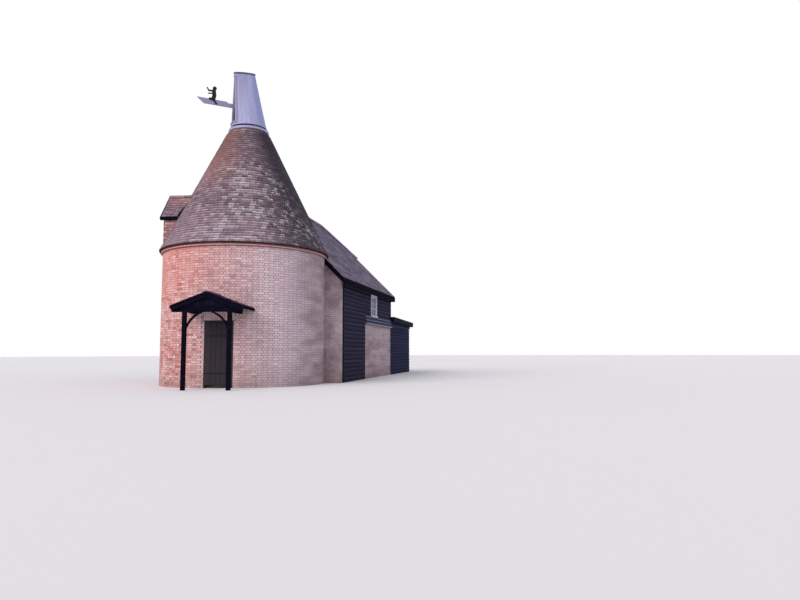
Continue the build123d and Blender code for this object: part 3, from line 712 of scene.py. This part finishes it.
def half_hip_tiles():
    """The small hipped end, with bonnet tiles down both hips."""
    slope_tiles("half_hip_tiles", y_axis, -x_axis, hip_tilt, ridge_height, hip_end - hip_start,
                lambda point: [(point.z - ridge_height, ridge_height - point.z)], slope_tile, hip_start)
    places = []
    top = Vector((0, hip_start, ridge_height))
    for side in (-1, 1):
        end = Vector((side * (ridge_height - hip_foot), hip_end, hip_foot))
        back = (top - end).normalized()
        normal = slope_axes(y_axis, hip_tilt)[1] + slope_axes(x_axis * side, roof_tilt)[1]
        across = back.cross(normal.normalized()).normalized()
        for index in range(int((top - end).length / tile_gauge)):
            places.append((basis(across, back, end + back * (index * tile_gauge)), tile_tone()))
    bonnet = half_round_shape(0.078, 0.092, 0.2, 6, 0.7)
    scatter("half_hip_bonnets", places, slope_tile, shape=bonnet)


def ridge_run(name, place, span, height, radius, length, finish):
    """Half-round ridge tiles laid end to end along a frame's X, each a little out of line."""
    start, end = (place @ Vector((x, 0, height)) for x in span)
    run = end - start
    count = max(1, round(run.length / length))
    step = run.length / count
    along = run.normalized()
    places = []
    for index in range(count):
        spot = start + along * (index * step + ridge_joint / 2) + z_axis * jitter(0.003)
        places.append((basis(along.cross(z_axis), along, spot), tile_tone()))
    tile = half_round_shape(radius - 0.014, radius, step - ridge_joint)
    scatter(name, places, finish, shape=tile)


def gable_tiles(name, place, ridge, reach, tilt, verge, finish):
    """Both slopes of a small gabled roof that runs out from the kiln."""
    turn = place.to_3x3()
    for label, side in sides:
        away = turn @ (y_axis * side)
        slope_tiles(name + label, away, turn @ x_axis, tilt, ridge, reach - 0.02,
                    lambda point: [(reach_at(point.z, point.dot(away)) - 0.02, verge - 0.01)], finish)


def dormer_hanging():
    """Tiles hung on the dormer's front, round its window, and on both cheeks."""
    turn = dormer_frame.to_3x3()
    out = turn @ x_axis
    half_window = dormer_window[0] / 2 + window_margin
    head = dormer_sill + dormer_window[1] + window_margin
    bottom = cone_profile[0][1] + 0.12
    top = dormer_ridge - dormer_depth / cos(dormer_tilt)

    def front_runs(point):
        half = min(dormer_half, (top - point.z - 0.05) / tan(dormer_tilt))
        if dormer_sill - 0.05 < point.z < head:
            return [(-half, -half_window), (half_window, half)]
        return [(-half, half)]

    face_tiles("dormer_front_tiles", out * dormer_front + z_axis * bottom, turn @ -y_axis, z_axis, out,
               top - bottom, front_runs, red_tile)
    height = top - dormer_half * tan(dormer_tilt) - bottom
    for label, side in sides:
        away = turn @ (y_axis * side)
        foot = away * dormer_half + z_axis * bottom
        face_tiles("dormer_cheek_tiles" + label, foot, out, z_axis, away, height,
                   lambda point: [(reach_at(point.z, dormer_half) - 0.01, dormer_front)], red_tile)


def barge_boards(place, reach, half, foot, head, width, depth, tone):
    """The two boards that rise from a gable's eaves to its middle."""
    return [bar(place @ Vector((reach, side * half, foot)), place @ Vector((reach, 0, head)),
                place.to_3x3() @ x_axis, width, depth, tone) for side in (-1, 1)]


def dormer_trim():
    """Barge boards, black bars standing for the shadow gap where the roof meets the cone, and a ridge of
    red tiles.
    """
    tangent = tan(dormer_tilt)
    foot, head = dormer_ridge - dormer_reach * tangent - 0.05, dormer_ridge - 0.05
    places = barge_boards(dormer_frame, dormer_verge - 0.012, dormer_reach, foot, head, 0.024, 0.11, 0.2)
    steps = 12
    # Painted shadow: black bars along the lower half of each slope's joint with the cone.
    for side in (-1, 1):
        line = []
        for index in range(steps + 1):
            half = dormer_reach * (1 - 0.5 * index / steps)
            height = dormer_ridge - half * tangent
            line.append(dormer_frame @ Vector((reach_at(height, half) + 0.08, side * half, height + 0.045)))
        places += [bar(start, end, start, 0.1, 0.07, 0.1) for start, end in zip(line, line[1:])]
    scatter("dormer_barge_and_shadow_bars", places, black_paint)
    ridge_run("dormer_ridge", dormer_frame, (reach_at(dormer_ridge, 0) - 0.04, dormer_verge),
              dormer_ridge - 0.045, 0.085, 0.3, red_tile)


# Bricks

def place_brick(places, spot, across, out, wide, tall):
    """One brick of its own colour, its face just proud of the mortar."""
    proud = brick_proud + jitter(0.0018)
    middle = spot + out * (proud - brick_depth / 2) + z_axis * jitter(0.0012)
    matrix = block(across, out, middle, wide + jitter(0.002), brick_depth, tall + jitter(0.002))
    tone = 0.0 if picker.random() < 0.012 else min(1.0, max(0.06, picker.gauss(0.5, 0.26)))
    places.append((matrix, tone))


def curved_bricks(places, radius, bottom, top, skip):
    """Flemish bond round the kiln's axis, between two heights."""
    courses = round((top - bottom) / brick_gauge)
    rise = (top - bottom) / courses
    count = round(2 * pi * radius / brick_pair)
    for course in range(courses):
        height = bottom + (course + 0.5) * rise
        for index in range(count):
            for share, wide in ((0.5 * (brick_long + mortar) / brick_pair, brick_long),
                                (1 - 0.5 * (brick_short + mortar) / brick_pair, brick_short)):
                out, across = round_axes(2 * pi / count * (index + (course % 2) / 2 + share))
                spot = out * radius + z_axis * height
                if not skip(spot):
                    place_brick(places, spot, across, out, wide, rise - mortar)


def flat_bricks(places, x, y, along, out, length, top, slope=0.0):
    """Flemish bond on a flat face; its top falls by a slope from the start of the run."""
    for course in range(int(top / brick_gauge)):
        height = (course + 0.5) * brick_gauge
        reach = min(length, (top - height - brick_gauge / 2) / slope) if slope else length
        edge = -brick_pair * (course % 2) / 2
        for index in range(2 * int(length / brick_pair) + 4):
            wide = brick_long if index % 2 == 0 else brick_short
            low, high = max(edge, 0.0), min(edge + wide, reach)
            edge += wide + mortar
            if high - low > least_brick:
                spot = Vector((x, y, height)) + along * ((low + high) / 2)
                place_brick(places, spot, along, out, high - low, brick_height)


def drum_bricks():
    """The drum's brickwork and its corbelled course, left off at the door and inside the stowage."""
    back = porch_frame.inverted()

    def hidden(spot):
        place = back @ spot
        door = place.x > 0 and abs(place.y) < soldiers_half and spot.z < soldiers_top
        return door or spot.y > near_end + 0.12

    places = []
    curved_bricks(places, kiln_radius, 0.0, corbel_bottom, hidden)
    curved_bricks(places, kiln_radius + corbel_step, corbel_bottom, wall_top, hidden)
    scatter("kiln_bricks", places, brick, shape=box_shape(brick_worn))


def door_bricks():
    """Soldier bricks over the kiln door and closers down its jambs."""
    places = []
    closer, courses, soldiers = 0.07, 27, 13
    middle = soldiers_top - 0.01 - brick_long / 2
    spots = [((index - soldiers // 2) * brick_gauge, middle, brick_height, brick_long)
             for index in range(soldiers)]
    spots += [(way * (soldiers_half - 0.04), (course + 0.5) * brick_gauge, closer, brick_height)
              for way in (-1, 1) for course in range(courses)]
    for offset, height, wide, tall in spots:
        out, across = round_axes(porch_turn + asin(offset / kiln_radius))
        place_brick(places, out * kiln_radius + z_axis * height, across, out, wide, tall)
    scatter("kiln_door_bricks", places, brick, shape=box_shape(brick_worn))


def under_roof(across):
    """Height under the stowage's roof at a distance across, or the distance at a height."""
    return ridge_height - roof_drop - across


def stowage_bricks():
    """Brick ground floor on both long sides and the returns beside the drum, up to the roof's slope."""
    places = []
    edge = sqrt(kiln_radius ** 2 - near_end ** 2) + 0.01
    flat_bricks(places, half_width, bay_end, y_axis, x_axis, far_end - bay_end, storey)
    flat_bricks(places, -half_width, far_end, -y_axis, -x_axis, far_end - boards_start, storey)
    for side, corner in ((-1, boards_start), (1, near_end)):
        away = x_axis * side
        flat_bricks(places, side * edge, near_end, away, -y_axis, half_width - edge, under_roof(edge), 1.0)
        flat_bricks(places, side * half_width, corner, y_axis * side, away, return_depth,
                    under_roof(half_width))
    scatter("stowage_bricks", places, brick, shape=box_shape(brick_worn))


# Boards

def board_rows(places, origin, along, out, bottom, top, spans):
    """Lapped boards from the bottom up; spans gives the runs of a row at its height."""
    rows = max(1, round((top - bottom) / board_show))
    show = (top - bottom) / rows
    lean = atan2(board_thick, show)
    up = z_axis * cos(lean) - out * sin(lean)
    face = out * cos(lean) + z_axis * sin(lean)
    tall = show + board_lap
    for row in range(rows):
        height = bottom + row * show
        for low, high in spans(height + show / 2):
            cuts = [low]
            while high - cuts[-1] > board_longest:
                cuts.append(cuts[-1] + picker.uniform(*board_cuts))
            cuts.append(high)
            for start, end in zip(cuts, cuts[1:]):
                middle = (origin + along * ((start + end) / 2) + z_axis * height
                          + up * (tall / 2) + out * (board_thick * 0.75 + jitter(0.001)))
                matrix = block(along, face, middle, end - start - board_joint, board_thick * 0.7, tall)
                places.append((matrix, picker.random()))


def side_boards(places, side, bottom, top, low, high, window=None):
    """Boards on one long side from low to high along it, cut round a window if its middle is given."""
    half = side_window[0] / 2 + window_margin
    sill, head = side_window_sill - 0.04, side_window_sill + side_window[1] + window_margin

    def spans(height):
        ends = sorted((side * low, side * high))
        if window and sill < height < head:
            return [(ends[0], side * window - half), (side * window + half, ends[1])]
        return [ends]

    board_rows(places, x_axis * side * half_width, y_axis * side, x_axis * side, bottom, top, spans)


def stowage_boards():
    """Black weatherboarding of the stowage, with the bay that runs down to the ground."""
    top = under_roof(half_width) + 0.01
    places = []
    side_boards(places, 1, skirt_top, top, boards_start, far_end, side_window_middle)
    side_boards(places, 1, ground_gap, skirt_top, boards_start, bay_end)
    side_boards(places, -1, skirt_top, top, boards_start, far_end, side_window_middle)
    scatter("stowage_side_boards", places, black_along_y)
    places = []
    board_rows(places, y_axis * far_end, -x_axis, y_axis, annex_top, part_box("far_gable")[1].z,
               lambda height: [about(0, min(half_width, under_roof(height)))])
    scatter("far_gable_boards", places, black_along_x)


def stowage_trim():
    """Black corner boards, boxed eave ends, far barge boards and the board under the half-hip."""
    eave_top = ridge_height - eave_reach
    places = []
    for side in (-1, 1):
        for low, high, y, z, tone in (
                (half_width - 0.02, half_width + 0.03, (far_end - 0.06, far_end + 0.03),
                 (skirt_top - 0.38, eave_top - 0.02), 0.1),
                (half_width + 0.01, half_width + 0.03, (boards_start - 0.02, boards_start + 0.06),
                 (ground_gap, eave_top - 0.02), 0.6),
                (half_width + 0.005, eave_reach - 0.012, (far_end + 0.02, verge_end + 0.015),
                 (eave_top - 0.2, eave_top - 0.01), 0.1)):
            places.append(slab(level, (side * low, side * high), y, z, tone))
        foot = Vector((side * (eave_reach - 0.075), verge_end + 0.012, eave_top - 0.03))
        rise = ridge_height - (verge_end - hip_start) * tan(hip_tilt) - eave_top - 0.09
        places.append(bar(foot, foot + Vector((-side * rise, 0, rise)), y_axis, 0.024, 0.17, 0.2))
    places.append(slab(level, about(0, ridge_height - hip_foot), about(hip_end, 0.012),
                       (hip_foot - 0.2, hip_foot - 0.01), 0.2))
    scatter("stowage_black_trim", places, black_paint)


def skirt_drip():
    """The pale lath along the bottom edge of both skirts."""
    places = [slab(level, (side * (skirt_reach - 0.022), side * (skirt_reach + 0.006)), (start, far_end),
                   (storey - 0.006, storey + 0.016), 0.4)
              for side, start in ((1, bay_end), (-1, boards_start))]
    scatter("skirt_drip_lath", places, cowl_paint)


def annex_boards():
    """Weatherboarding of the annex down to the ground, and a frieze board under each eave."""
    top = annex_top - annex_edge
    places, friezes = [], []
    for side in (-1, 1):
        side_boards(places, side, ground_gap, top - 0.06, far_end + 0.005, annex_end)
        friezes.append(slab(level, (side * (half_width + 0.02), side * (half_width + 0.05)),
                            (far_end, annex_end), (top - 0.2, top - 0.07), 0.2))
    scatter("annex_side_boards", places, annex_along_y)
    scatter("annex_friezes", friezes, annex_along_y)
    places = []
    board_rows(places, y_axis * annex_end, -x_axis, y_axis, ground_gap, top - 0.09,
               lambda height: [about(0, half_width)])
    scatter("annex_end_boards", places, annex_along_x)


# Windows, porch and door

def window_trim(place, size):
    """Surround, sill and glazing bars of a two-light casement; the frame's origin is the sill's middle."""
    width, height = size
    half, board, face, thin = width / 2, 0.055, 0.055, 0.009
    wide = about(0, half + board + 0.02)
    parts = [((-0.014, 0.03), (-half - board, -half + 0.01), (-0.03, height + board), 0.7),
             ((-0.014, 0.03), (half - 0.01, half + board), (-0.03, height + board), 0.8),
             ((-0.014, 0.034), wide, (height - 0.01, height + board), 0.75),
             ((-0.02, 0.075), wide, (-0.045, 0.0), 0.9)]
    light = (width - 3 * face) / 2
    bars = (-0.068, -0.032)
    for side in (-1, 1):
        middle = side * (face + light) / 2
        parts.append((bars, about(middle, thin), (face, height - face), 0.8))
        for third in (1, 2):
            rail = face + (height - 2 * face) * third / 3
            parts.append((bars, about(middle, light / 2), about(rail, thin), 0.8))
    return [slab(place, *part) for part in parts]


def windows():
    """Trim of the three casements."""
    side_place = Matrix.Translation((half_width, side_window_middle, side_window_sill))
    other_place = Matrix.Translation((-half_width, side_window_middle, side_window_sill)) @ facing(pi)
    dormer_place = dormer_frame @ Matrix.Translation((dormer_front, 0, dormer_sill))
    places = (window_trim(side_place, side_window) + window_trim(other_place, side_window)
              + window_trim(dormer_place, dormer_window))
    scatter("window_trim", places, white_paint)


def porch_trim():
    """Barge boards and gable boarding on the porch, painted black, and its ridge tiles."""
    tangent = tan(porch_tilt)
    foot, head = porch_ridge - porch_reach * tangent - 0.055, porch_ridge - 0.062
    places = barge_boards(porch_frame, porch_verge - 0.016, porch_reach - 0.02, foot, head,
                          0.026, 0.15, 0.3)
    under = porch_ridge - porch_depth / cos(porch_tilt)
    face = porch_front - 0.0275
    count = 11
    half = (under - porch_beam_top) / tangent / count
    for index in range(count):
        middle = half * (2 * index + 1 - count)
        top = under - (abs(middle) + half) * tangent
        places.append(slab(porch_frame, (face, face + 0.016), about(middle, half - 0.003),
                           (porch_beam_top - 0.02, top), picker.random()))
    scatter("porch_boards", places, black_paint)
    ridge_run("porch_ridge", porch_frame, (kiln_radius - 0.01, porch_verge - 0.01), porch_ridge - 0.05,
              0.09, 0.33, porch_tile)


def kiln_door_trim():
    """Planks on the kiln door, with iron straps and a ring."""
    count = 5
    half = door_half / count
    planks = [slab(porch_frame, (door_face - 0.001, door_face + 0.012),
                   about(half * (2 * index + 1 - count), half - 0.004), (0.105, door_top - 0.005),
                   picker.random()) for index in range(count)]
    scatter("kiln_door_planks", planks, dark_oak)
    strap_span, strap_height, strap_lows = (-0.38, 0.24), 0.045, (0.42, 1.56)
    straps = [slab(porch_frame, (door_face + 0.011, door_face + 0.018), strap_span,
                   (low, low + strap_height)) for low in strap_lows]
    scatter("kiln_door_straps", straps, iron)

    wire, ring_radius, ring_across, ring_height = 0.007, 0.05, 0.3, 1.05

    def ring(bm):
        made = bmesh.ops.create_circle(bm, radius=wire, segments=8)
        bmesh.ops.rotate(bm, verts=made["verts"], matrix=Matrix.Rotation(pi / 2, 3, "X"))
        bmesh.ops.translate(bm, verts=made["verts"], vec=(ring_radius, 0, 0))
        bmesh.ops.spin(bm, geom=made["verts"] + bm.edges[:], cent=(0, 0, 0), axis=(0, 0, 1),
                       angle=2 * pi, steps=20, use_merge=True)
        bmesh.ops.recalc_face_normals(bm, faces=bm.faces)

    place = porch_frame @ Matrix.Translation((door_face + 0.022, ring_across, ring_height))
    place = place @ Matrix.Rotation(pi / 2, 4, "Y")
    scatter("kiln_door_ring", [(place, 0.5)], iron, shape=template(ring))


# Cowl

def cowl_point(turn, share, inset):
    """A point on the cowl's boards at an angle from the mouth's middle and a share of their height."""
    radius = cowl_radius - inset
    low = Vector((radius * cos(turn), radius * sin(turn), cowl_bottom))
    along = (cowl_head_length - inset) * cos(turn)
    high = Vector((cowl_lean + along, (cowl_head_width - inset) * sin(turn),
                   cowl_head - cowl_head_slope * along))
    return wind_frame @ low.lerp(high, share)


def cowl_plank(points, shape, turns, shares, insets):
    """One board of the cowl, from a unit block bent between angles, shares of the height and insets."""
    points.append(np.array([cowl_point(turns[0] + (turns[1] - turns[0]) * (x + 0.5),
                                       shares[0] + (shares[1] - shares[0]) * (z + 0.5),
                                       insets[1] + (insets[0] - insets[1]) * (y + 0.5))
                            for x, y, z in shape[0]]))


def cowl_planks():
    """Twisted, tapering boards of the cowl, with the mouth between two jambs, a sill and a head."""
    step = 2 * pi / cowl_boards
    half = step / 2 - 0.001
    shape = plank_shape(1, 14)
    points, tones = [], []
    for index in range(cowl_boards):
        middle = step * index
        open_board = min(middle, 2 * pi - middle) < mouth_turn
        inset = jitter(0.0015)
        for shares in ([(0.0, mouth_sill), (mouth_head, 1.0)] if open_board else [(0.0, 1.0)]):
            cowl_plank(points, shape, about(middle, half), shares, (inset, 0.025))
            tones.append(picker.uniform(0.2, 0.8))
    piece = joined("cowl_boards", shape, points, tones, cowl_paint, "cowl")
    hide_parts("cowl_shell")
    points = []
    for side in (-1, 1):
        turns = sorted((side * (mouth_turn + 0.02), side * (mouth_turn - jamb_edge)))
        cowl_plank(points, shape, turns, (mouth_sill, mouth_head), (-0.02, 0.045))
    joined("cowl_jambs", shape, points, [0.9, 0.9], jamb_shade_paint, "cowl")
    shape = plank_shape(48, 1)
    points = []
    for reach, low, high, out in ((mouth_turn + 0.02, mouth_sill - 0.016, mouth_sill + 0.003, -0.02),
                                  (mouth_turn + 0.02, mouth_head - 0.002, mouth_head + 0.018, -0.008),
                                  (pi, 0.0, 0.03, -0.012)):
        cowl_plank(points, shape, (-reach, reach), (low, high), (out, 0.03))
    joined("cowl_sill_and_bands", shape, points, [0.5, 0.5, 0.5], cowl_paint, "cowl")


def vane_fixings():
    """Iron straps that hold the vane."""
    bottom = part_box("vane_board")[0].z
    places = [slab(wind_frame, (along, along + 0.04), (side * 0.02, side * 0.026),
                   (bottom + 0.004, bottom + 0.141)) for along in (0.12, 0.42) for side in (-1, 1)]
    scatter("vane_straps", places, iron, body="cowl")


# Stage

def sun(name, strength, spread, turn, colour):
    data = bpy.data.lights.new(name, "SUN")
    data.energy = strength
    data.angle = radians(spread)
    data.color = colour
    added(name, data).rotation_euler = [radians(value) for value in turn]


def backdrop():
    """A soft sky for the light, and white wherever the camera or a mirror sees it."""
    world = bpy.data.worlds.new("studio")
    bpy.context.scene.world = world
    sky = Nodes(world)
    soft = sky.tree.nodes["Background"]
    sky.feed(soft, {"Color": (0.94, 0.93, 1.0, 1), "Strength": 0.62})
    white = sky.add("ShaderNodeBackground", {"Color": (1, 1, 1, 1)})
    rays = sky.add("ShaderNodeLightPath").outputs
    seen = rays["Is Camera Ray"]
    for other in ("Is Glossy Ray", "Is Transmission Ray"):
        seen = sky.maths("MAXIMUM", seen, rays[other])
    choose = sky.add("ShaderNodeMixShader", {0: seen, 1: soft.outputs[0], 2: white.outputs[0]})
    sky.feed(sky.tree.nodes["World Output"], {0: choose.outputs[0]})


def pale_floor():
    """A wide pale floor."""
    bm = bmesh.new()
    bmesh.ops.create_circle(bm, cap_ends=True, radius=150, segments=96)
    mesh = bpy.data.meshes.new("floor")
    bm.to_mesh(mesh)
    bm.free()
    pale = Finish("pale floor", roughness=0.9)
    pale.feed(pale.shader, {"Base Color": (0.82, 0.82, 0.83, 1)})
    mesh.materials.append(pale.material)
    ground = added("floor", mesh)


def camera():
    """The photograph's camera, 1.1 m over the ground."""
    focal_pixels, width_pixels, film = 602.0, 800.0, 36.0
    data = bpy.data.cameras.new("camera")
    data.sensor_width = film
    data.lens = film * focal_pixels / width_pixels
    data.clip_end = 500
    eye = added("camera", data)
    eye.location = (9.75, -19.45, 1.10)
    pitch, yaw, roll = radians(4.87), radians(12.2), radians(-0.15)
    eye.rotation_euler = (Matrix.Rotation(yaw, 3, "Z") @ Matrix.Rotation(pi / 2 + pitch, 3, "X")
                          @ Matrix.Rotation(roll, 3, "Z")).to_euler()
    bpy.context.scene.camera = eye
    bpy.context.scene.view_settings.view_transform = "Standard"


# New materials on the solids whose shape is right, found by words in their names
for finish, words in (
        (lime, "kiln_wall brick near_wall_returns"),
        (tile_bed, "kiln_roof ridge_tiles dormer_front dormer_cheeks"),
        (black_paint, "stowage_roof half_hip dormer_roof porch"),
        (black_along_y, "boarded_wall"), (black_along_x, "far_gable"),
        (annex_along_y, "annex_side_walls"), (annex_along_x, "annex_end_wall"),
        (skirt_paint, "skirt_boards"), (felt, "annex_roof"),
        (white_paint, "window_frames"), (glass, "window_glass"),
        (cowl_paint, "vane_board cowl_shell"), (curb_paint, "curb_ring"), (cap_paint, "cowl_cap"),
        (dark_oak, "kiln_door"), (floor_wood, "upper_floor cowl_bearers cowl_frame"),
        (flagstone, "ground_slabs"), (iron, "vane_figure")):
    for name in nodes:
        if any(word in name for word in words.split()):
            nodes[name].data.materials.clear()
            nodes[name].data.materials.append(finish)

cone_tiles()
stowage_tiles()
half_hip_tiles()
ridge_run("stowage_ridge", facing(pi / 2), (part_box("ridge_tiles")[0].y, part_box("ridge_tiles")[1].y),
          ridge_height - 0.05, 0.125, 0.45, slope_tile)
gable_tiles("dormer_tiles", dormer_frame, dormer_ridge, dormer_reach, dormer_tilt, dormer_verge, warm_tile)
dormer_hanging()
dormer_trim()
gable_tiles("porch_tiles", porch_frame, porch_ridge, porch_reach, porch_tilt, porch_verge, porch_tile)
drum_bricks()
door_bricks()
stowage_bricks()
stowage_boards()
stowage_trim()
skirt_drip()
annex_boards()
windows()
porch_trim()
kiln_door_trim()
cowl_planks()
vane_fixings()
pale_floor()
backdrop()
sun("key", 1.9, 40, (60, 0, -28), (1.0, 0.92, 0.92))
sun("fill", 0.25, 60, (60, 0, 60), (0.88, 0.92, 1.0))
camera()
